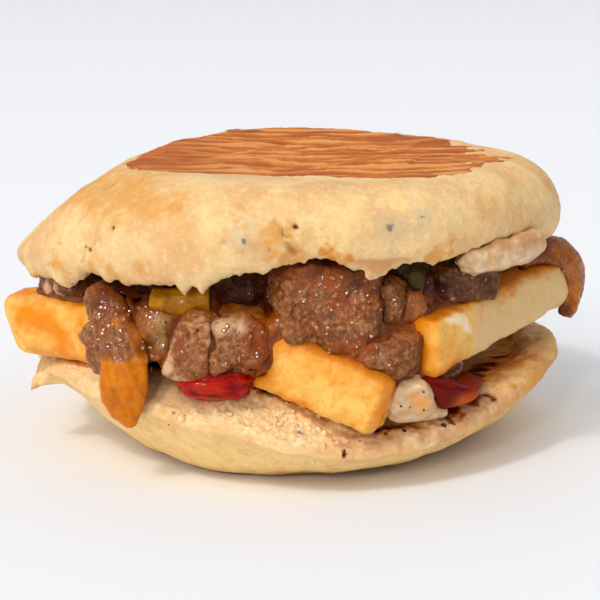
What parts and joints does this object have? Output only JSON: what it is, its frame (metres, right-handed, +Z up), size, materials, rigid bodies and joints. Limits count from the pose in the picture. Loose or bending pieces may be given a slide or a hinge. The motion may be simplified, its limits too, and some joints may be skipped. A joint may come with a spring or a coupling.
{
  "type": "liver sandwich",
  "caption": "Round griddled flatbread, split and filled with fried liver pieces, thick chips, soft onion, pepper, tomato, mayonnaise and chilli sauce.",
  "frame": {"origin": "middle of the flat patch that the lower bread rests on", "axes": "+Z up through both breads, -Y the open front, +X the right hand of someone who faces the front"},
  "size_m": [0.1355, 0.1281, 0.066],
  "materials": {
    "griddled_bread": "dry floured bread skin with browned patches",
    "liver": "moist, grainy, glazed with sauce",
    "fried_potato": "oily fried skin",
    "soft_onion": "wet and translucent",
    "sweet_pepper": "wet skin",
    "tomato": "wet flesh",
    "mayonnaise": "smooth cream stained with sauce",
    "chilli_sauce": "thick glossy jelly"
  },
  "bodies": {
    "root": {"bread_top": "griddled_bread", "bread_base": "griddled_bread", "liver_core": "liver", "liver_mid": "liver", "liver_cut_end": "liver", "chip_front": "fried_potato", "chip_right": "fried_potato", "chip_left": "fried_potato", "liver_front": "liver", "liver_front_lobe": "liver", "liver_low": "liver", "onion_drape": "soft_onion", "liver_slab": "liver", "tomato_front": "tomato", "pepper_yellow": "sweet_pepper", "onion_mid": "soft_onion", "onion_sauced": "soft_onion", "onion_right": "soft_onion", "pepper_green": "sweet_pepper", "onion_inner": "soft_onion", "liver_inner_right": "liver", "liver_inner_left": "liver", "liver_inner_far_left": "liver", "liver_left_end": "liver", "mayonnaise_upper": "mayonnaise", "mayonnaise_lower": "mayonnaise", "sauce_pool": "chilli_sauce", "chip_back_right": "fried_potato", "chip_back_left": "fried_potato", "liver_right": "liver", "liver_back_right": "liver", "liver_back": "liver", "liver_back_left": "liver", "liver_left": "liver", "onion_back": "soft_onion", "pepper_back": "sweet_pepper", "tomato_back": "tomato", "tomato_right": "tomato"}
  },
  "joints": []
}
